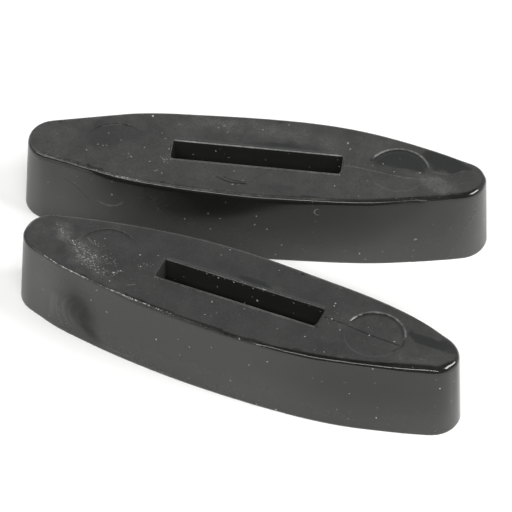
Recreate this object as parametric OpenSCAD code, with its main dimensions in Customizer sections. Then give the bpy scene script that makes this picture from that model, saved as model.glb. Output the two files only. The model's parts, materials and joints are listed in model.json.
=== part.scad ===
// A pair of skate blade guards: two solid moulded blocks, each with a slot that takes a blade's edge.
// Both are one moulding and the same size. They lie flat on their wide faces, slot up, in a narrow V.
// Millimetres, +Z up. The origin is the bottom centre of the pair's box, and the rear guard lies along X.

/* [Block] */
// Distance from the centre of a side arc to the centre of each nose arc
arc_reach = 185.5; // [180:0.5:190]
// Radius of the blunt ends at the base
nose_r = 8; // [7:0.5:9]
// Height of a guard
block_h = 22; // [18:0.5:26]
// How far the walls lean in from the base to the rounded edge, so that the block leaves its mould
draft = 0.8; // [0.4:0.1:1.2]
// Radius of the rounded edge around the top face
edge_r = 1.4; // [0.6:0.1:1.6]

/* [Slot] */
// Length of the blade slot
slot_l = 44; // [36:1:48]
// Width of the blade slot
slot_w = 6.5; // [6:0.1:7]
// Thickness left under the slot
slot_floor = 5; // [3:0.5:8]
// Radius of the slot's upright corners
slot_corner_r = 0.5; // [0.4:0.1:1.2]

/* [Mould marks] */
// Diameter of the round mark that each mould pin leaves in the top face
mark_d = 15.2; // [12:0.1:16]
// Distance from the middle of a guard to the centre of each mark
mark_x = 36.7; // [34:0.1:38]
// Depth of a mark
mark_depth = 0.2; // [0.1:0.05:0.3]

/* [Layout] */
// Distance that the front guard's middle lies in front of the rear guard's
pair_gap_y = 49; // [48:1:60]
// Distance that the front guard's middle lies to the right of the rear guard's
pair_shift_x = 1.8; // [0:0.1:2]
// Angle between the two guards
pair_turn = 16.2; // [10:0.1:16.2]

/* [Hidden] */

$fn = 240;
over = 1; // how far a cutting solid runs past the face it cuts

// The outline is two long side arcs that run smoothly into two round noses. They meet on lines that leave
// a nose's centre along [7, 24], the sides of a 7-24-25 triangle, which keeps every centre a round number.
lean = [7, 24];
slope = lean / norm(lean);
nose_x = arc_reach * slope[0];
side_y = arc_reach * slope[1]; // distance from the middle line to a side arc's centre
side_r = arc_reach + nose_r;
block_w = 2 * (side_r - side_y); // 30.8

edge_z = block_h - edge_r; // centre of the rounded edge

// The pair's box runs from the rear guard's back to the lowest point of the turned front guard.
front_reach = side_r - side_y * cos(pair_turn);
pair_depth = block_w / 2 + pair_gap_y + front_reach;
rear_y = pair_depth / 2 - block_w / 2;
front_y = rear_y - pair_gap_y;

// A disc with a leaning wall and a rounded top edge. Every part of a guard's wall is cut from one.
module disc(radius) {
    top_r = radius - draft - edge_r;
    rotate_extrude() {
        polygon([[0, 0], [radius, 0], [radius - draft, edge_z], [top_r, edge_z], [top_r, block_h], [0, block_h]]);
        translate([top_r, edge_z]) circle(r = edge_r, $fn = 64);
    }
}

// The space beyond the lines on which a nose meets the side arcs, to the right of a nose's centre.
module beyond_nose() {
    translate([nose_x, 0, -over]) linear_extrude(block_h + 2 * over)
        polygon([[0, 0], lean, [2 * lean[1], lean[1]], [2 * lean[1], -lean[1]], [lean[0], -lean[1]]]);
}

// The block between the noses, where the discs of the two side arcs overlap.
module middle() {
    difference() {
        intersection() {
            translate([0, -side_y, 0]) disc(side_r);
            translate([0, side_y, 0]) disc(side_r);
        }
        beyond_nose();
        mirror([1, 0, 0]) beyond_nose();
    }
}

// One blunt end.
module nose() {
    intersection() {
        translate([nose_x, 0, 0]) disc(nose_r);
        beyond_nose();
    }
}

// The slot, open at the top, with small upright corner radii.
module blade_slot() {
    corner_x = slot_l / 2 - slot_corner_r;
    corner_y = slot_w / 2 - slot_corner_r;
    translate([0, 0, slot_floor]) linear_extrude(block_h) {
        square([slot_l, 2 * corner_y], center = true);
        square([2 * corner_x, slot_w], center = true);
        for (x = [-corner_x, corner_x], y = [-corner_y, corner_y])
            translate([x, y]) circle(r = slot_corner_r, $fn = 32);
    }
}

// The shallow round marks that the mould's pins leave near both ends.
module pin_marks() {
    for (x = [-mark_x, mark_x])
        translate([x, 0, block_h - mark_depth]) cylinder(d = mark_d, h = over, $fn = 96);
}

// One guard, its length along X and its middle on the Z axis.
module guard() {
    difference() {
        union() {
            middle();
            nose();
            mirror([1, 0, 0]) nose();
        }
        blade_slot();
        pin_marks();
    }
}

module rear_guard() {
    color("#2e302e") translate([0, rear_y, 0]) guard();
}

module front_guard() {
    color("#343634") translate([pair_shift_x, front_y, 0]) rotate([0, 0, -pair_turn]) guard();
}

rear_guard();
front_guard();
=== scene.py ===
import bpy
import json
import math
from mathutils import Matrix, Vector, geometry, noise


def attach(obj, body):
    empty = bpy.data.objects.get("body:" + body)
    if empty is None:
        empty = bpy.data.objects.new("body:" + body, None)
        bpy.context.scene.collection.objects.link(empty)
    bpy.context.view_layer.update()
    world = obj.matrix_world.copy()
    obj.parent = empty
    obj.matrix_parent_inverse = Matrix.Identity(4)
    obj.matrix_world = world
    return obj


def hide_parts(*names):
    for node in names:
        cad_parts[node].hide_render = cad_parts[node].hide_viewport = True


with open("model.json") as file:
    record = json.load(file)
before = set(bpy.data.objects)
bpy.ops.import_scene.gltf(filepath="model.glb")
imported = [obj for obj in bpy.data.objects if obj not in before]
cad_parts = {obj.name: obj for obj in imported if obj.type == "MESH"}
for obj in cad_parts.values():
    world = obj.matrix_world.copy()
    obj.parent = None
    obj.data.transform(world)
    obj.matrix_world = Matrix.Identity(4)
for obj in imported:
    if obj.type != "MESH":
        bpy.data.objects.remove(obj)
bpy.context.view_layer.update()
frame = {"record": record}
mounts = {mount["name"]: Vector(mount["pos_m"]) for mount in frame["record"]["mounts"]}
scene = bpy.context.scene
MM = 0.001


# ---- The table, the light and the camera --------------------------------------------------------------
# The guards lie on a plain white table. A white backdrop stands behind and beside them, and the ceiling
# and the camera's side of the room are dark. One long strip light draws the bright line along the edges,
# a small one on the right puts a spot on each right nose, and a wide front light fills the dusty tops.

def linear(hex_colour):
    """An sRGB hex colour as the linear RGBA that a shader's colour socket takes."""
    channels = [int(hex_colour[i:i + 2], 16) / 255 for i in (1, 3, 5)]
    return [c / 12.92 if c <= 0.04045 else ((c + 0.055) / 1.055) ** 2.4 for c in channels] + [1.0]


def add(tree, kind, sockets=None, **settings):
    """Adds a shader node with its settings, and a value or a link for each input named or numbered."""
    node = tree.nodes.new("ShaderNode" + kind)
    for key, value in settings.items():
        setattr(node, key, value)
    for key, value in (sockets or {}).items():
        if isinstance(value, bpy.types.NodeSocket):
            tree.links.new(value, node.inputs[key])
        else:
            node.inputs[key].default_value = value
    return node


# A table top three metres square.
half_table = 1.5
table_mesh = bpy.data.meshes.new("table")
corners = [(x * half_table, y * half_table, 0) for x, y in ((-1, -1), (1, -1), (1, 1), (-1, 1))]
table_mesh.from_pydata(corners, [], [(0, 1, 2, 3)])
table = bpy.data.objects.new("table", table_mesh)
scene.collection.objects.link(table)
laminate = bpy.data.materials.new("white_laminate")
laminate.use_nodes = True
laminate_shader = laminate.node_tree.nodes["Principled BSDF"]
laminate_shader.inputs["Base Color"].default_value = linear("#f4f4f2")
laminate_shader.inputs["Roughness"].default_value = 0.9
laminate_shader.inputs["Specular IOR Level"].default_value = 0.1
laminate_shader.inputs["Emission Color"].default_value = linear("#ffffff")
laminate_shader.inputs["Emission Strength"].default_value = 0.08
table_mesh.materials.append(laminate)

# The room glows white behind and beside the guards, up to the height where the dark ceiling starts.
room = bpy.data.worlds.new("studio")
scene.world = room
room.use_nodes = True
sky = room.node_tree
direction = add(sky, "SeparateXYZ", {0: add(sky, "TexCoord").outputs["Generated"]})
behind = add(sky, "MapRange", {"Value": direction.outputs["Y"], "From Min": -0.35, "From Max": 0.05})
below = add(sky, "MapRange", {"Value": direction.outputs["Z"], "From Min": 0.79, "From Max": 0.87,
                              "To Min": 1.0, "To Max": 0.0}, interpolation_type="SMOOTHSTEP")
backdrop = add(sky, "Math", {0: behind.outputs[0], 1: below.outputs[0]}, operation="MULTIPLY")
glow = add(sky, "MapRange", {"Value": backdrop.outputs[0], "To Min": 0.07, "To Max": 0.72})
seen = add(sky, "LightPath").outputs["Is Camera Ray"]
strength = add(sky, "Math", {0: glow.outputs[0], 1: seen}, operation="MAXIMUM")
sky.links.new(strength.outputs[0], sky.nodes["Background"].inputs["Strength"])
sky.nodes["Background"].inputs["Color"].default_value = linear("#fbfcff")


def softbox(name, azimuth, elevation, distance, size, power):
    """A rectangular light that faces the guards. Azimuth 0 is in front of them and 90 to their right.
    Angles are in degrees, the distance and the size in metres, and the power in watts."""
    lamp = bpy.data.lights.new(name, "AREA")
    lamp.shape, lamp.size, lamp.size_y, lamp.energy = "RECTANGLE", size[0], size[1], power
    light = bpy.data.objects.new(name, lamp)
    scene.collection.objects.link(light)
    a, e = math.radians(azimuth), math.radians(elevation)
    away = Vector((math.sin(a) * math.cos(e), -math.cos(a) * math.cos(e), math.sin(e)))
    light.location = away * distance
    light.rotation_euler = away.to_track_quat("Z", "Y").to_euler()
    light.visible_camera = False
    return light


softbox("strip_light", -27, 44, 1.2, (1.95, 0.085), 10.0)
softbox("right_light", 82, 40, 1.0, (0.5, 0.3), 7.5)
front_lamp = softbox("front_light", 2, 52, 1.3, (1.2, 0.5), 8.1)
front_lamp.visible_glossy = False

# The camera stands well back with a long lens and looks down at 45 degrees.
camera_azimuth, camera_elevation, camera_roll = math.radians(6.468), math.radians(45.2), math.radians(0.844)
camera_distance = 1.7322
camera_target = Vector((0.0030, 0.0032, 0.011))
lens = bpy.data.cameras.new("camera")
lens.lens, lens.sensor_width = 476.2, 36.0
lens.clip_start, lens.clip_end = 0.05, 10.0
camera = bpy.data.objects.new("camera", lens)
scene.collection.objects.link(camera)
back = Vector((math.sin(camera_azimuth) * math.cos(camera_elevation),
               -math.cos(camera_azimuth) * math.cos(camera_elevation), math.sin(camera_elevation)))
camera.location = camera_target + back * camera_distance
turn = (-back).to_track_quat("-Z", "Y").to_matrix() @ Matrix.Rotation(camera_roll, 3, "Z")
camera.rotation_euler = turn.to_euler()
scene.camera = camera
scene.view_settings.view_transform = "Standard"


# ---- The moulding that both guards share ---------------------------------------------------------------
# Each guard is one block of hard black rubber, pressed in a two-part mould. The walls lean in towards the
# top, the top edge is rounded, and the slot's core left a small rounded lip around the slot's mouth.

QUARTER = math.pi / 2

# The base's outline: two noses joined by two long arcs, whose centres lie across the block from them.
# Within side_blend of the long axis, what is done to one side fades into the other.
nose_r = 8.0
arc_reach = 185.5
lean = Vector((7, 24)).normalized()
lean_angle = math.atan2(lean.x, lean.y)
nose_centre_x = arc_reach * lean.x
side_centre_y = arc_reach * lean.y
side_r = arc_reach + nose_r
length_trim = 1.004
side_blend = 3.0

# The block's section: its height, how far the wall leans in, and the rounding at the top and the base.
block_h, draft, edge_r, base_r = 22.0, 0.8, 1.4, 0.25
wall_steps, edge_steps = 22, 10

# The slot, with its mouth's lip and its floor's rounding, and the round ejector mark near each end.
slot_l, slot_w, slot_floor, slot_corner_r = 44.0, 6.5, 5.0, 0.5
lip_r, floor_r, lip_steps = 0.3, 0.6, 6
mark_r, mark_x = 7.6, 36.7

# How much film lies where both guards are alike. The top's open face has about 1. On the rounded edges and
# in the slot it is dust; at the slot's near mouth it is a painted highlight along the near lip, and the
# last value makes the near wall paler towards its base.
edge_film, mouth_painted_highlight, slot_film, low_wall_paling = 0.3, 2.6, 0.48, 0.7


def arc(centre, radius, start, end, steps):
    """Points and outward directions along an arc, its last point left out. Angles are from +X."""
    for i in range(steps):
        angle = start + (end - start) * i / steps
        out = Vector((math.cos(angle), math.sin(angle)))
        yield centre + radius * out, out


def eased(knots, x):
    """The height at x of a smooth curve through the knots, which are (x, height) pairs."""
    i = next((i for i in range(1, len(knots) - 1) if x < knots[i][0]), len(knots) - 1)
    (x0, a), (x1, b) = knots[i - 1], knots[i]
    before, after = knots[max(i - 2, 0)], knots[min(i + 1, len(knots) - 1)]
    span = x1 - x0
    t = min(max((x - x0) / span, 0.0), 1.0)
    slope_a = (b - before[1]) / (x1 - before[0]) * span
    slope_b = (after[1] - a) / (after[0] - x0) * span
    return (a * (1 + 2 * t) * (1 - t) ** 2 + slope_a * t * (1 - t) ** 2
            + b * t * t * (3 - 2 * t) + slope_b * t * t * (t - 1))


def block_outline(far_side, near_side):
    """The base's outline as (point, outward direction), anticlockwise from the right nose.
    far_side and near_side say how far each side's hand-trimmed edge stands out from the two arcs."""
    shape = [
        *arc(Vector((nose_centre_x, 0)), nose_r, lean_angle - QUARTER, QUARTER - lean_angle, 44),
        *arc(Vector((0, -side_centre_y)), side_r, QUARTER - lean_angle, QUARTER + lean_angle, 120),
        *arc(Vector((-nose_centre_x, 0)), nose_r, QUARTER + lean_angle, 3 * QUARTER - lean_angle, 44),
        *arc(Vector((0, side_centre_y)), side_r, 3 * QUARTER - lean_angle, 3 * QUARTER + lean_angle, 120),
    ]
    trimmed = []
    for point, out in shape:
        swell = eased(far_side if point.y > 0 else near_side, point.x)
        share = min(abs(point.y) / side_blend, 1.0)
        side = 1 if point.y > 0 else -1
        trimmed.append((Vector((point.x * length_trim, point.y + side * swell * share)), out))
    return trimmed


def slot_outline():
    """The slot's outline as (point, outward direction), anticlockwise, a point every 0.7 mm."""
    x, y = slot_l / 2 - slot_corner_r, slot_w / 2 - slot_corner_r
    points = []
    for i, (cx, cy) in enumerate(((x, y), (-x, y), (-x, -y), (x, -y))):
        points += arc(Vector((cx, cy)), slot_corner_r, i * QUARTER, (i + 1) * QUARTER, 6)
        out = Vector((math.cos(QUARTER * (i + 1)), math.sin(QUARTER * (i + 1))))
        along = Vector((-out.y, out.x))
        run = 2 * x if i % 2 == 0 else 2 * y
        steps = round(run / 0.7)
        corner = Vector((cx, cy)) + slot_corner_r * out
        points += [(corner + along * run * s / steps, out) for s in range(steps)]
    return points


def smooth(t):
    """A smooth step from 0 to 1."""
    t = min(max(t, 0.0), 1.0)
    return t * t * (3 - 2 * t)


def patch(marks, x, v, soft=0.45):
    """How strongly oval marks cover a point. A mark is (x, v, length, width, turn in degrees, amount).
    soft is the share of a mark's radius over which its edge fades. Softer edges are less ragged."""
    ragged = 0.45 * min((1 - soft) / 0.55, 1.0)
    total = 0.0
    for mx, mv, length, width, turn, amount in marks:
        a = math.radians(turn)
        along = ((x - mx) * math.cos(a) + (v - mv) * math.sin(a)) / length * 2
        across = ((v - mv) * math.cos(a) - (x - mx) * math.sin(a)) / width * 2
        reach = math.hypot(along, across)
        if reach < 2.2:
            reach *= 1 + ragged * noise.noise(Vector((x / 2.3, v / 2.3, mx)))
            total += amount * smooth((1 + soft - reach) / (2 * soft))
    return total


def nearest(points, x, y):
    """The distance from a point to the line through the points."""
    best = 1e9
    for (ax, ay), (bx, by) in zip(points, points[1:]):
        dx, dy = bx - ax, by - ay
        t = min(max(((x - ax) * dx + (y - ay) * dy) / (dx * dx + dy * dy), 0.0), 1.0)
        best = min(best, math.hypot(x - ax - t * dx, y - ay - t * dy))
    return best


def wall_sections(lean_in, rounding, worn, flat):
    """(how far in from the base's outline, height) for each loop of the wall, from the base up.
    worn is 0 where the edge is still round and 1 where it is worn to a flat, which is flat[0] wide
    and flat[1] high."""
    sections = [(base_r, 0.0), (base_r * 0.3, base_r * 0.3), (0.0, base_r)]
    wall_top = block_h - rounding + worn * (rounding - flat[1])
    sections += [(lean_in * i / wall_steps, wall_top * i / wall_steps) for i in range(1, wall_steps)]
    for i in range(edge_steps + 1):
        angle = QUARTER * i / edge_steps
        inward = rounding * (1 - math.cos(angle)) * (1 - worn) + worn * flat[0] * i / edge_steps
        upward = rounding * math.sin(angle) * (1 - worn) + worn * flat[1] * i / edge_steps
        sections.append((lean_in + inward, wall_top + upward))
    return sections


def slot_sections():
    """(how far out from the slot's outline, height) for each loop of the slot, from the lip down."""
    sections = []
    for i in range(lip_steps + 1):
        angle = QUARTER * i / lip_steps
        sections.append((lip_r * (1 - math.sin(angle)), block_h - lip_r * (1 - math.cos(angle))))
    sections += [(0.0, z) for z in (20.5, 19.0, 17.0, 14.0, 11.0, 8.0, slot_floor + floor_r)]
    sections += [(-0.3 * floor_r, slot_floor + 0.3 * floor_r), (-floor_r, slot_floor)]
    return sections


def block_mesh(guard):
    """The guard's points, in millimetres, and its faces, before any mark is made on it."""
    verts, faces = [], []

    def loop(outline, offsets):
        first = len(verts)
        verts.extend((p.x + out * n.x, p.y + out * n.y, z) for (p, n), (out, z) in zip(outline, offsets))
        return list(range(first, len(verts)))

    def bridge(a, b):
        count = len(a)
        faces.extend((a[i], a[(i + 1) % count], b[(i + 1) % count], b[i]) for i in range(count))

    outline, slot = block_outline(guard["far_side"], guard["near_side"]), slot_outline()
    profiles = []
    for p, _ in outline:
        near = smooth(-p.y / side_blend)
        lean_in = draft + near * eased(guard["near_lean"], p.x)
        rounding = edge_r + near * (eased(guard["near_rounding"], p.x) - edge_r)
        worn = near * smooth(eased(guard["near_flat"], p.x))
        profiles.append(wall_sections(lean_in, rounding, worn, guard["flat"]))
    walls = [loop(outline, [(-inset, z) for inset, z in level]) for level in zip(*profiles)]
    for lower, upper in zip(walls, walls[1:]):
        bridge(lower, upper)
    slots = [loop(slot, [level] * len(slot)) for level in slot_sections()]
    for upper, lower in zip(slots, slots[1:]):
        bridge(lower, upper)
    faces.append(tuple(reversed(walls[0])))
    faces.append(tuple(slots[-1]))

    # The top face fills the space between the rounded edge and the slot's lip. Its points lie closer
    # together along the ejector marks and along each line that the mould or a scratch left.
    kept = walls[-1] + slots[0]
    plan = [Vector(verts[i][:2]) for i in kept]
    n_edge, n_slot = len(walls[-1]), len(slots[0])
    edges = [(i, (i + 1) % n_edge) for i in range(n_edge)]
    edges += [(n_edge + i, n_edge + (i + 1) % n_slot) for i in range(n_slot)]
    edge_y = {}
    for p in plan[:n_edge]:
        edge_y.setdefault((round(p.x), p.y > 0), []).append(abs(p.y))

    def put(x, y, room_left):
        reach = edge_y.get((round(x), y > 0))
        if reach is None or abs(y) > min(reach) - room_left:
            return
        clear = lip_r + room_left
        if abs(x) > slot_l / 2 + clear or abs(y) > slot_w / 2 + clear:
            kept.append(len(verts))
            verts.append((x, y, block_h))
            plan.append(Vector((x, y)))

    ring_gaps = (-0.9, -0.5, -0.3, -0.2, -0.1, 0.0, 0.1, 0.2, 0.35, 0.6, 0.9)
    for side in (-1, 1):
        for gap in ring_gaps:
            for p, _ in arc(Vector((side * mark_x, 0)), mark_r + gap, 0, 2 * math.pi, 132):
                put(p.x, p.y, 0.3)
    line_pitch, line_gaps = 0.35, (-1.0, -0.6, -0.3, 0.0, 0.3, 0.6, 1.0)
    for points, width, _, _ in guard["lines"]:
        for (ax, ay), (bx, by) in zip(points, points[1:]):
            length = math.hypot(bx - ax, by - ay)
            along = Vector((bx - ax, by - ay)) / length
            across = Vector((-along.y, along.x))
            steps = max(round(length / line_pitch), 1)
            for s in range(steps):
                for gap in line_gaps:
                    p = Vector((ax, ay)) + along * length * s / steps + across * gap * width
                    put(p.x, p.y, 0.2)
    pitch, row_share, half_rows, half_columns = 0.7, 0.87, 26, 86
    for row in range(-half_rows, half_rows + 1):
        for column in range(-half_columns, half_columns + 1):
            x, y = (column + 0.5 * (row % 2)) * pitch, row * pitch * row_share
            if all(abs(math.hypot(x - side * mark_x, y) - mark_r) > ring_gaps[-1] for side in (-1, 1)):
                put(x, y, 0.35)
    joined, _, triangles, origin, _, _ = geometry.delaunay_2d_cdt(plan, edges, [], 0, 1e-6)
    for triangle in triangles:
        centre = sum((joined[i] for i in triangle), Vector((0, 0))) / 3
        if abs(centre.x) > slot_l / 2 or abs(centre.y) > slot_w / 2:
            faces.append(tuple(kept[origin[i][0]] for i in triangle))
    return verts, faces


def edge_wear(guard, x, y, z, rise):
    """The film, grit and dullness that the top starts with: its open face, and then the edges, which are
    the slot's rounded lip, the slot's near mouth, the near edge and the far edge. On the lip, the mouth
    and the far edge the pale film is a painted highlight; along the near edge's crest it is partly dust
    and partly a painted highlight."""
    film_and_painted_light = guard["wall_film"]
    if rise > 0.2:
        film_and_painted_light = edge_film + (1 - edge_film) * smooth((z - block_h + 0.06) / 0.05)
    lip_x, lip_y = slot_l / 2 + lip_r, slot_w / 2 + lip_r
    # On the slot's rounded lip the pale film is a painted highlight, brightest on the near side.
    if z < block_h - 0.002 and abs(x) < lip_x and abs(y) < lip_y:
        near_lip, far_lip, end_lips = guard["lip_painted_highlight"]
        side_lip = far_lip if y > 0 else near_lip
        at_end = abs(x) > slot_l / 2 - 0.3
        return end_lips if at_end else side_lip, 0.0, 0.0
    # At the slot's near mouth the added film is a painted highlight along the top of the near lip.
    if abs(x) < slot_l / 2 and -lip_y - 0.02 < y < 0:
        return film_and_painted_light + mouth_painted_highlight, 0.0, 0.0
    on_edge = rise < 0.999
    if on_edge and y < 0:
        crest_z, crest_half = block_h - 0.12, 0.15
        crest = math.exp(-((z - crest_z) / crest_half) ** 2)
        # Along the near edge's crest the pale film is partly dust and partly a painted highlight line.
        film_and_painted_light += eased(guard["near_edge_dust_and_highlight"], x) * crest
        return film_and_painted_light, eased(guard["near_edge_grit"], x) * crest, eased(guard["near_edge_wear"], x)
    if on_edge and y > 0:
        # Pale film along the far edge's rounding is a painted highlight, fading out towards the right end.
        highlight_end_x, highlight_fade = 46, 10
        film_and_painted_light += guard["far_edge_painted_highlight"] * smooth((highlight_end_x - x) / highlight_fade)
    return film_and_painted_light, 0.0, 0.0


def ejector_mark(mark, x, y, seed):
    """The height and the film that an ejector mark adds at a point: a shallow round dent, and a torn fin of
    rubber that stands along a part of its rim and holds dust, with a painted shadow just inside the fin."""
    side, depth, start, end, fin, fin_dust_and_shadow = mark
    distance = math.hypot(x - side * mark_x, y) - mark_r
    height, film_and_painted_light = -depth * smooth(0.5 - distance / 0.5), 0.0
    angle = math.degrees(math.atan2(y, x - side * mark_x)) % 360
    if start <= angle <= end:
        fin_taper = 12
        fade = smooth(min(angle - start, end - angle) / fin_taper)
        torn = 0.7 + 0.8 * noise.noise(Vector((x / 0.9, y / 0.9, seed)))
        on_rim = math.exp(-((distance - 0.2) / 0.18) ** 2) * torn
        # A painted shadow just inside the fin: the film is lowered in a thin ring there.
        fin_shadow = math.exp(-((distance + 0.4) / 0.3) ** 2)
        height += fin * fade * on_rim
        film_and_painted_light += fin_dust_and_shadow * fade * (on_rim - 0.18 * fin_shadow)
    return height, film_and_painted_light


def weathered(guard, x, y, z):
    """A point's height once it is marked, and how dusty, how gritty and how dull the rubber is there. The
    dust value also carries the painted highlights, the painted reflection and the painted shadow.
    """
    in_slot = abs(x) < slot_l / 2 + 0.01 and abs(y) < slot_w / 2 + 0.01
    if in_slot:
        at_left_end = x < 0.1 - slot_l / 2
        return z, guard["slot_end_film"] if at_left_end else slot_film, 0.0, 0.0
    rise = smooth((z - block_h + edge_r) / edge_r)
    if rise == 0:
        if y >= 0:
            return z, guard["wall_film"], 0.0, 0.0
        # The near wall is paler towards its base, over its lowest 16 mm.
        film_and_painted_light = guard["wall_film"] + low_wall_paling * smooth(1 - z / 16)
        # Oval marks on the near wall: dust and cleaner places, and at the wall's ends a painted reflection
        # that makes the ends paler.
        film_and_painted_light += patch(guard["wall_dust_and_reflection_marks"], x, z, 0.9)
        return z, film_and_painted_light, 0.0, patch(guard["wall_dull"], x, z, 0.7)

    # The press leaves waves 13 by 8 mm wide in the top, and ripples of 3.5 mm.
    seed = guard["seed"]
    height = 0.03 * noise.noise(Vector((x / 13, y / 8, seed)))
    height += 0.012 * noise.noise(Vector((x / 3.5, y / 3.5, seed + 5)))
    film_and_painted_light, grit, dull = edge_wear(guard, x, y, z, rise)
    for mark in guard["ejector_marks"]:
        mark_height, mark_dust_and_shadow = ejector_mark(mark, x, y, seed)
        height += mark_height
        film_and_painted_light += mark_dust_and_shadow
    for points, width, depth, line_film in guard["lines"]:
        distance = nearest(points, x, y)
        if distance < width:
            height -= depth * smooth(1 - distance / width)
            film_and_painted_light += line_film * smooth(1.2 - distance / width)
    if rise > 0.95:
        wipe_y, wipe_slope, amount = guard["mark_wiped"]
        inside = smooth(mark_r - math.hypot(x - mark_x, y) - 0.3)
        wiped = amount * inside * smooth((y - wipe_y - wipe_slope * (x - mark_x)) / 0.6)
        wiped += patch(guard["top_wiped"], x, y, 0.15)
        film_and_painted_light += patch(guard["top_film"], x, y) - wiped
        dull += 0.35 * wiped
    grit += min(patch(guard["top_grit"], x, y), 0.7)
    return z + rise * height, film_and_painted_light, grit, dull


def mould_guard(name, base, turn, guard):
    """Makes one guard from its dictionary of edges and marks, and sets it down with its base at a point."""
    verts, faces = block_mesh(guard)
    marked = [weathered(guard, *point) for point in verts]
    shaped = [(x, y, z) for (x, y, _), (z, _, _, _) in zip(verts, marked)]
    mesh = bpy.data.meshes.new(name)
    cos, sin = math.cos(turn), math.sin(turn)
    placed = [(base.x + (x * cos - y * sin) * MM, base.y + (x * sin + y * cos) * MM, base.z + z * MM)
              for x, y, z in shaped]
    mesh.from_pydata(placed, [], faces)
    place = mesh.attributes.new("place_mm", "FLOAT_VECTOR", "POINT")
    place.data.foreach_set("vector", [c for point in shaped for c in point])
    for i, what in enumerate(("film_and_painted_light", "grit", "dull"), 1):
        mesh.attributes.new(what, "FLOAT", "POINT").data.foreach_set("value", [m[i] for m in marked])
    mesh.polygons.foreach_set("use_smooth", [True] * len(mesh.polygons))
    block = bpy.data.objects.new(name, mesh)
    scene.collection.objects.link(block)
    return block


# Hard black rubber from a polished mould: nearly black and glossy, so it mirrors the table and the room.
# A thin film of handling dust greys the top, and pale grains of grit lie on it and stick in the scuffs.
# The same pale film also paints highlights along the slot's lip and the edges, a reflection on the near
# wall's ends and a shadow just inside an ejector mark's fin.

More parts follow.
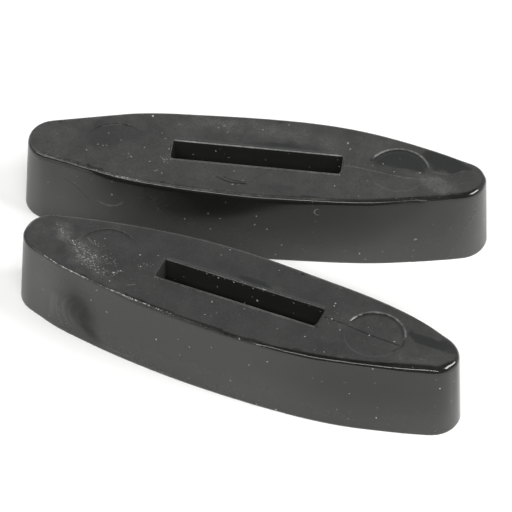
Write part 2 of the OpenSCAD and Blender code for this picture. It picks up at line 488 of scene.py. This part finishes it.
def black_rubber(name, guard):
    material = bpy.data.materials.new(name)
    material.use_nodes = True
    tree = material.node_tree
    shader = tree.nodes["Principled BSDF"]

    def attribute(what):
        return add(tree, "Attribute", attribute_name=what).outputs

    def math_node(operation, a, b=0.0, clamp=False):
        return add(tree, "Math", {0: a, 1: b}, operation=operation, use_clamp=clamp).outputs[0]

    def span(value, low, high, to_low=0.0, to_high=1.0):
        return add(tree, "MapRange", {"Value": value, "From Min": low, "From Max": high,
                                      "To Min": to_low, "To Max": to_high}).outputs[0]

    place = attribute("place_mm")["Vector"]
    film_and_painted_light, grit = attribute("film_and_painted_light")["Fac"], attribute("grit")["Fac"]
    axes = add(tree, "SeparateXYZ", {0: place}).outputs
    z_mm, near_wall = axes["Z"], span(axes["Y"], -4.0, -5.0)
    offset = (guard["seed"], guard["seed"] * 2, 0.0)
    shifted = add(tree, "VectorMath", {0: place, 1: offset}, operation="ADD").outputs[0]

    # The place pushed up to about 0.3 mm aside, which makes the grains and the scratches ragged.
    wobble = add(tree, "TexNoise", {"Vector": shifted, "Scale": 3.0, "Detail": 1.0})
    wobble = add(tree, "VectorMath", {0: wobble.outputs["Color"], 1: (0.5, 0.5, 0.5)}, operation="SUBTRACT")
    wobble = add(tree, "VectorMath", {0: wobble.outputs[0], "Scale": 0.7}, operation="SCALE").outputs[0]
    ragged = add(tree, "VectorMath", {0: place, 1: wobble}, operation="ADD").outputs[0]

    # Smudges of 2 to 8 mm and mottling of 0.5 mm in the dust.
    smudge = add(tree, "TexNoise", {"Vector": shifted, "Scale": 0.16, "Detail": 4.0, "Roughness": 0.62})
    mottle = add(tree, "TexNoise", {"Vector": shifted, "Scale": 1.5, "Detail": 3.0, "Roughness": 0.7})
    uneven = span(smudge.outputs[0], 0.3, 0.7, 0.55, 1.45)
    uneven = math_node("MULTIPLY", uneven, span(mottle.outputs[0], 0.25, 0.75, 0.55, 1.45))
    on_top = span(z_mm, 21.0, 21.9, 0.25, 1.0)
    uneven = math_node("ADD", 1.0, math_node("MULTIPLY", on_top, math_node("SUBTRACT", uneven, 1.0)))
    dust_and_painted_light = math_node("MULTIPLY", film_and_painted_light, uneven)

    # Grit of 0.1 to 0.5 mm: crowded grains where the block was scuffed, and single ones anywhere.
    crumbs = add(tree, "TexNoise", {"Vector": shifted, "Scale": 2.1, "Detail": 3.0, "Roughness": 0.75})
    crowded = span(math_node("ADD", crumbs.outputs[0], math_node("MULTIPLY", grit, 0.2)), 0.71, 0.79)
    cells = add(tree, "TexVoronoi", {"Vector": ragged, "Scale": 0.42, "Randomness": 1.0})
    size = add(tree, "SeparateColor", {0: cells.outputs["Color"]})
    radius = span(size.outputs[0], 0.0, 1.0, 0.03, 0.11)
    near = math_node("SUBTRACT", radius, cells.outputs["Distance"])
    single = math_node("MULTIPLY", span(near, 0.0, 0.05), size.outputs[1])
    grains = math_node("MAXIMUM", crowded, single)
    for x, y, z, speck_r in guard["specks"]:
        away = add(tree, "VectorMath", {0: ragged, 1: (x, y, z)}, operation="DISTANCE").outputs["Value"]
        speck = span(away, speck_r, speck_r * 0.3, 0.0, min(1.0, speck_r * 3.5))
        grains = math_node("MAXIMUM", grains, speck)

    # Scratches and wiped curves on the near wall: each is part of a circle in the wall's x and z.
    relief = math_node("ADD", math_node("MULTIPLY", mottle.outputs[0], 0.004),
                       math_node("MULTIPLY", grains, 0.008))
    for x, z, bend_r, start, end, width, pale, depth in guard["wall_arcs"]:
        across = add(tree, "VectorMath", {0: ragged, 1: (x, 0.0, z)}, operation="SUBTRACT").outputs[0]
        across = add(tree, "VectorMath", {0: across, 1: (1.0, 0.0, 1.0)}, operation="MULTIPLY").outputs[0]
        length = add(tree, "VectorMath", {0: across}, operation="LENGTH").outputs["Value"]
        from_line = math_node("ABSOLUTE", math_node("SUBTRACT", length, bend_r))
        line = span(from_line, width, width * 0.2)
        middle, half_sweep = math.radians((start + end) / 2), math.radians((end - start) / 2)
        heading = add(tree, "VectorMath", {0: across}, operation="NORMALIZE").outputs[0]
        heading = add(tree, "VectorMath", {0: heading, 1: (math.cos(middle), 0.0, math.sin(middle))},
                      operation="DOT_PRODUCT").outputs["Value"]
        sweep = span(heading, math.cos(half_sweep), math.cos(half_sweep * 0.6))
        line = math_node("MULTIPLY", math_node("MULTIPLY", line, sweep), near_wall)
        dust_and_painted_light = math_node("ADD", dust_and_painted_light, math_node("MULTIPLY", line, pale))
        relief = math_node("SUBTRACT", relief, math_node("MULTIPLY", line, depth))

    # The rubber is darkest where it is clean, and the grains are the palest. Film, grains and wear dull it.
    # The pale film colour also carries the painted highlights, reflection and shadow.
    pale_film_and_light = add(tree, "Mix", {"Factor": math_node("MULTIPLY", dust_and_painted_light, 0.062, True), "A": linear("#0f100e"),
                                  "B": linear("#a0a19b")}, data_type="RGBA")
    colour = add(tree, "Mix", {"Factor": math_node("MULTIPLY", grains, 0.75, True),
                               "A": pale_film_and_light.outputs["Result"], "B": linear("#c6c9c2")}, data_type="RGBA")
    tree.links.new(colour.outputs["Result"], shader.inputs["Base Color"])
    wall_rough = span(z_mm, 20.3, 20.7, 0.09, 0.0)
    rough = math_node("ADD", span(dust_and_painted_light, 0.0, 3.0, 0.06, 0.42), wall_rough)
    worn_rough = math_node("MULTIPLY", math_node("MULTIPLY", attribute("dull")["Fac"], uneven), 0.4)
    rough = math_node("ADD", rough, worn_rough)
    rough = math_node("ADD", rough, math_node("MULTIPLY", grains, 0.4), True)
    tree.links.new(rough, shader.inputs["Roughness"])
    shader.inputs["IOR"].default_value = 1.49

    bump = add(tree, "Bump", {"Height": relief, "Strength": 1.0, "Distance": MM})
    tree.links.new(bump.outputs[0], shader.inputs["Normal"])
    return material


# ---- The rear guard ------------------------------------------------------------------------------------
# Black rubber from the shared mould, its flash trimmed by hand. Handling has dusted its top and then wiped
# part of it clean, and the mould left a flow line from the slot to the right ejector mark.

# Positions on a guard are in millimetres: x along it from its middle, y towards the far side, z up. A list
# of pairs is a smooth curve along x, as (x, height). Amounts of film, grit and dullness are about 1 where
# there is plenty. An oval mark is (x, y, length, width, turn, amount), with z for y on the wall.
rear_guard = {
    "seed": 3.1,
    # How far the trimmed sides stand out, the near wall's extra lean, and the near edge's rounding.
    "far_side": [
        (-60, 0.3), (-48, 0.15), (-40, 0.45), (-33, 0.85), (-26, 0.75), (-18, 0.4), (-8, 0.3), (4, 0.55),
        (12, 0.85), (20, 1.0), (28, 0.85), (36, 0.4), (42, -0.05), (48, -0.5), (54, -1.05), (58, -0.8),
    ],
    "near_side": [
        (-60, 0.3), (-50, 0.0), (-42, 0.25), (-34, 0.7), (-22, 0.4), (-10, 0.1), (4, -0.5), (14, -0.6),
        (22, -0.35), (32, 0.0), (40, 0.05), (50, 0.2), (60, 0.3),
    ],
    "near_lean": [(-60, 0), (-10, 0), (2, -0.5), (30, -0.5), (40, -0.1), (50, 0), (60, 0)],
    "near_rounding": [(-60, 1.2), (-50, 1.0), (-20, 1.2), (20, 1.3), (40, 1.4), (60, 1.5)],
    # The flat's width and height, and where along the near edge the wear has made it.
    "flat": (0.9, 0.65),
    "near_flat": [(-60, 0), (34, 0), (38, 0.35), (42, 0.35), (46, 1), (50, 1), (55, 0), (60, 0)],
    "near_edge_wear": [
        (-60, 0), (-36, 0.05), (-30, 0.1), (-24, 0.0), (32, 0.0), (38, 0.25), (48, 0.2), (54, 0.0),
    ],
    # Pale film along the near edge's crest, partly dust and partly a painted highlight.
    "near_edge_dust_and_highlight": [
        (-60, 0.8), (-54, 2.3), (-46, 1.2), (-36, 1.7), (-26, 2.3), (-14, 2.2), (0, 1.5), (16, 1.5),
        (26, 0.4), (60, 0),
    ],
    "near_edge_grit": [
        (-60, 0), (-55, 0.5), (-44, 0.6), (-33, 0.9), (-26, 0.3), (30, 0.0), (38, 0.4), (50, 0.4), (54, 0.0),
    ],
    # The painted highlight along the far edge, as pale film.
    "far_edge_painted_highlight": 0.2,
    # The painted highlight, as pale film, on the slot lip's near side, far side and ends, and the film on
    # the slot's left end wall.
    "lip_painted_highlight": (7.5, 6.0, 2.0),
    "slot_end_film": 0.6,
    # Each ejector mark's side and depth, and its torn fin's start and end angle, height and film. The fin's
    # film also sets the painted shadow just inside it.
    "ejector_marks": [(-1, 0.06, 60, 130, 0.02, 1.0), (1, 0.16, 8, 158, 0.1, 6.5)],
    # The right mark is wiped beyond a line across it: the line's y, its slope, and how clean it is wiped.
    "mark_wiped": (0.7, -0.13, 1.0),
    # Flow lines and scratches in the top: the points, the width, the depth and the film.
    "lines": [
        ([(22.8, 0.1), (29.9, -0.8), (37.3, -2.1), (43.8, -2.3)], 0.3, 0.04, 1.3),
        ([(45.5, 0.6), (48.0, 0.2), (50.5, 0.4), (53.5, 2.0)], 0.3, 0.02, 1.0),
        ([(-9.2, -8.7), (-7.0, -9.8), (-5.1, -10.4), (-1.3, -10.2)], 0.3, 0.05, -0.8),
        ([(-7.4, -8.4), (-5.0, -9.4), (-2.0, -9.7)], 0.25, 0.03, -0.7),
        ([(-41.0, 6.0), (-38.5, 7.0), (-36.0, 7.4)], 0.3, -0.01, 0.8),
    ],
    "top_film": [
        (47.5, -4.2, 11, 5, -20, 1.1), (-52.0, 0.0, 12, 9, 0, 0.35), (19.0, 8.0, 26, 7, -8, 0.3),
        (-38.5, 3.0, 15, 9, 10, -0.5), (-15.0, 9.5, 20, 6, 0, 0.45), (10.0, 5.0, 18, 3, 0, -0.45),
        (-3.0, 10.2, 18, 5, -3, 0.7), (4.0, -11.5, 40, 4, 0, -0.25),
    ],
    "top_wiped": [
        (48.3, 4.4, 12, 6.2, -24, 1.0), (3.0, 4.9, 14, 1.6, 2, 0.45), (30.0, 3.5, 2.5, 1.2, 60, 0.7),
    ],
    "top_grit": [
        (-23.2, -4.0, 3.5, 3.5, 0, 0.65), (-32.5, -3.6, 5, 2, -20, 0.55), (-11.6, -3.9, 3, 0.6, 0, 0.5),
        (2.3, -3.8, 3, 0.6, 0, 0.4), (16.0, -3.8, 3, 0.6, 0, 0.4), (30.0, -0.5, 2, 4, 0, 0.4),
    ],
    "wall_film": 0.15,
    # Oval marks on the near wall. The pale ones at the wall's two ends are a painted reflection; the others
    # are dust and cleaner places.
    "wall_dust_and_reflection_marks": [
        (-44.0, 12.0, 26, 26, 0, 1.3), (-26.0, 17.0, 16, 10, 0, 0.5), (-59.0, 10.0, 9, 30, 0, 1.0),
        (60.0, 9.0, 12, 34, 0, 1.1),
    ],
    "wall_dull": [(-40.0, 12.0, 26, 24, 0, 0.25), (-14.0, 9.0, 40, 8, 0, 0.2)],
    # Single specks: x, y, z and radius.
    "specks": [
        (16.2, -14.0, 20.4, 0.16), (17.1, -14.0, 14.5, 0.16), (24.0, -13.4, 4.2, 0.18),
        (36.5, -12.0, 12.3, 0.18), (50.1, -8.4, 11.8, 0.22), (45.7, -9.7, 1.1, 0.2),
        (-37.1, -12.0, 18.5, 0.2), (-26.4, -13.2, 10.8, 0.18), (-28.5, 11.4, 22, 0.3),
        (-21.4, 9.4, 22, 0.22), (-11.0, 9.3, 22, 0.25), (-8.5, 8.1, 22, 0.2),
        (0.4, 10.1, 22, 0.25), (6.8, 12.8, 22, 0.22), (22.7, 8.2, 22, 0.32),
        (-22.7, -0.1, 22, 0.25), (-41.1, -0.8, 22, 0.2), (-39.8, -1.0, 22, 0.22),
        (-38.8, -0.8, 22, 0.18), (-35.4, 1.5, 22, 0.2), (-25.2, -8.6, 22, 0.25),
        (-23.4, -9.1, 22, 0.2), (-5.7, 6.6, 22, 0.16), (-10.9, -7.8, 22, 0.16),
        (-27.0, -5.2, 22, 0.18), (-25.3, 5.5, 22, 0.16), (-11.0, 3.2, 19.5, 0.25),
        (42.7, -10.6, 8.1, 0.3), (-24.8, -8.2, 22, 0.2), (34.4, -12.4, 4.4, 0.2),
    ],
    # Arcs on the near wall: the centre's x and z, the radius, two angles, the width, the film, the depth.
    "wall_arcs": [
        (-37.4, 16.6, 5.2, 235, 335, 0.3, 3.0, 0.0), (-54.0, 3.0, 14.5, 30, 72, 0.3, -0.8, 0.03),
        (17.6, 18.0, 1.0, 60, 300, 0.2, 5.0, 0.0),
    ],
}
rear = mould_guard("rear_moulding", mounts["rear_base"], 0.0, rear_guard)
rear.data.materials.append(black_rubber("rear_black_rubber", rear_guard))
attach(rear, "rear")
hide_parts("rear_guard")


# ---- The front guard -----------------------------------------------------------------------------------
# The same moulding, laid down a little askew in front of the first. It has seen more use: its left end is
# scuffed, its near edge is chipped on the left and worn dull in the middle, and a thumb has wiped the wall.

front_guard = {
    "seed": 8.4,
    "far_side": [
        (-60, 0.3), (-50, 0.2), (-20, 0.25), (-10, 0.15), (0, -0.1), (10, -0.35), (18, -0.3), (26, 0.1),
        (34, 0.5), (42, 0.7), (48, 0.5), (53, 0.0), (57, -0.3),
    ],
    "near_side": [
        (-60, 0.1), (-54, 0.1), (-46, 0.7), (-38, 0.5), (-22, 0.2), (-12, 0.1), (2, 0.1), (14, 0.35),
        (25, 0.7), (34, 0.75), (42, 0.4), (50, 0.1), (55, -0.1), (60, 0.2),
    ],
    "near_lean": [
        (-60, 0), (-46, 0.2), (-30, 0.1), (-12, 0), (2, -0.2), (14, -0.25), (26, 0.1), (34, 0.6),
        (46, 0.7), (54, 0.8), (60, 0.3),
    ],
    "near_rounding": [
        (-60, 1.0), (-54, 0.6), (-46, 0.5), (-26, 0.6), (-14, 1.3), (0, 1.5), (40, 1.5), (50, 2.1),
        (60, 2.1),
    ],
    "flat": (0.55, 0.4),
    "near_flat": [(-60, 0), (-32, 0), (-25, 0.8), (-10, 1), (8, 1), (16, 0.5), (28, 0), (60, 0)],
    "near_edge_wear": [
        (-60, 0), (-56, 0.1), (-50, 0.5), (-38, 0.5), (-30, 0.6), (-12, 0.3), (8, 0.2), (20, 0.12),
        (30, 0), (60, 0),
    ],
    # Pale film along the near edge's crest, partly dust and partly a painted highlight.
    "near_edge_dust_and_highlight": [
        (-60, 0), (-54, 0.8), (-46, 1.8), (-38, 1.6), (-35, 0.6), (-28, 1.2), (-18, 0.6), (6, 0.3), (60, 0),
    ],
    "near_edge_grit": [
        (-60, 0), (-55, 0.3), (-50, 1.1), (-38, 1.2), (-35, 0.6), (-30, 1.1), (-18, 0.9), (-8, 0.3),
        (4, 0.1), (60, 0.1),
    ],
    # The painted highlight along the far edge, as pale film.
    "far_edge_painted_highlight": 2.4,
    # The painted highlight, as pale film, on the slot lip's near side, far side and ends.
    "lip_painted_highlight": (7.5, 2.5, 1.5),
    "slot_end_film": 1.5,
    "ejector_marks": [(-1, 0.06, 50, 150, 0.03, 1.6), (1, 0.2, 10, 170, 0.12, 4.2)],
    "mark_wiped": (0.0, 0.0, 0.0),
    "lines": [
        ([(43.4, -3.3), (44.7, -1.0), (44.4, 0.9)], 0.4, 0.06, -0.9),
        ([(22.6, 0.5), (29.0, 0.2), (36.0, -0.6), (44.0, -1.0)], 0.3, 0.04, -0.5),
        ([(-26.8, -9.1), (-25.2, -8.0)], 0.25, 0.0, 1.6),
    ],
    "top_film": [
        (-2.0, 0.0, 100, 44, 0, -0.42), (-56.0, 1.0, 8, 8, 0, 0.25), (-49.5, 1.8, 7, 4, -45, 1.2),
        (-41.5, -3.5, 12, 7, -30, 0.8), (-33.0, -9.5, 9, 3, -15, 0.6), (8.0, 4.6, 3, 2, 0, 0.4),
        (49.0, -4.6, 12, 2.5, 8, 0.3), (29.0, 3.2, 6, 8, 0, 0.3),
    ],
    "top_wiped": [
        (49.5, 3.0, 10, 3.2, -8, 0.95), (55.2, 3.4, 6, 4, -30, 0.7), (2.5, 4.8, 9, 2.2, -3, 0.6),
    ],
    "top_grit": [
        (-51.5, 3.0, 4, 1.8, -45, 0.6), (-48.5, 0.8, 5, 2.2, -50, 0.6), (-43.5, -2.2, 7, 4, -40, 0.65),
        (-40.0, -4.8, 8, 4.5, -35, 0.6), (-35.5, -3.0, 8, 3.4, -10, 0.6), (-34.5, -7.5, 6, 3, -10, 0.65),
        (-31.0, -5.9, 3, 2, 20, 0.7), (-26.0, -1.0, 5, 2.5, 20, 0.55), (-41.0, 1.5, 7, 1.6, -15, 0.65),
        (-2.0, 3.6, 8, 0.8, 0, 0.7), (5.5, 3.5, 4, 0.7, 0, 0.8), (26.0, 1.5, 5, 6, 0, 0.35),
    ],
    "wall_film": 0.33,
    # Oval marks on the near wall. The pale one at the wall's left end is a painted reflection; the others
    # are dust and cleaner places.
    "wall_dust_and_reflection_marks": [
        (-39.5, 10.0, 9, 15, 20, -0.7), (-57.0, 11.0, 14, 30, 0, 1.5), (-46.5, 13.0, 9, 14, 0, 0.4),
        (36.0, 10.0, 34, 30, 0, -0.4),
    ],
    "wall_dull": [(-39.0, 9.8, 8.5, 13, 25, 1.3), (-35.0, 3.4, 7, 3, -30, 0.8)],
    "specks": [
        (-48.5, -8.9, 13.2, 0.2), (-51.0, -8.1, 20.2, 0.18), (-26.1, -13.2, 9.6, 0.2),
        (35.6, -12.0, 15.0, 0.16), (49.0, -8.8, 20.8, 0.18), (47.2, -9.4, 11.7, 0.18),
        (35.5, -12.4, 5.1, 0.18), (30.5, -12.9, 9.8, 0.2), (-8.3, 12.8, 22, 0.2),
        (23.6, 5.1, 22, 0.25), (24.9, 0.7, 22, 0.22), (28.2, -2.0, 22, 0.22),
        (35.1, -2.8, 22, 0.25), (37.9, -3.1, 22, 0.22), (42.5, -4.5, 22, 0.22),
        (42.2, -10.9, 4.5, 0.25), (-13.0, 3.25, 21.5, 0.2), (-10.5, 3.25, 21.3, 0.28),
        (-8.6, 3.25, 21.3, 0.2), (-7.4, 3.25, 21.2, 0.32), (-5.6, 3.25, 21.4, 0.2),
        (-3.1, 3.25, 21.3, 0.28), (-0.5, 3.25, 21.2, 0.2), (2.2, 3.25, 21.3, 0.28),
        (5.0, 3.25, 21.4, 0.2), (3.4, 3.25, 17.4, 0.3), (13.4, 3.25, 20.6, 0.25),
        (17.6, 3.25, 21.4, 0.2), (-50.7, -8.5, 10.0, 0.25), (33.8, -12.1, 14.9, 0.22),
        (53.7, -7.8, 6.5, 0.25), (-28.4, 1.9, 22, 0.25),
    ],
    "wall_arcs": [
        (-38.0, 8.0, 4.6, 110, 250, 0.5, 0.9, 0.02), (-38.0, 8.0, 6.4, 120, 240, 0.5, 0.8, 0.02),
        (-37.6, 8.0, 2.6, 100, 260, 0.4, 0.6, 0.02), (-30.0, 6.0, 18.0, 160, 190, 0.9, 0.9, 0.0),
        (-28.0, 61.0, 59.5, 264, 275, 0.35, 1.2, 0.0), (-38.0, 8.0, 8.6, 150, 225, 0.4, 0.7, 0.01),
    ],
}
turned_by = math.radians(-16.2)
front = mould_guard("front_moulding", mounts["front_base"], turned_by, front_guard)
front.data.materials.append(black_rubber("front_black_rubber", front_guard))
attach(front, "front")
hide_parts("front_guard")
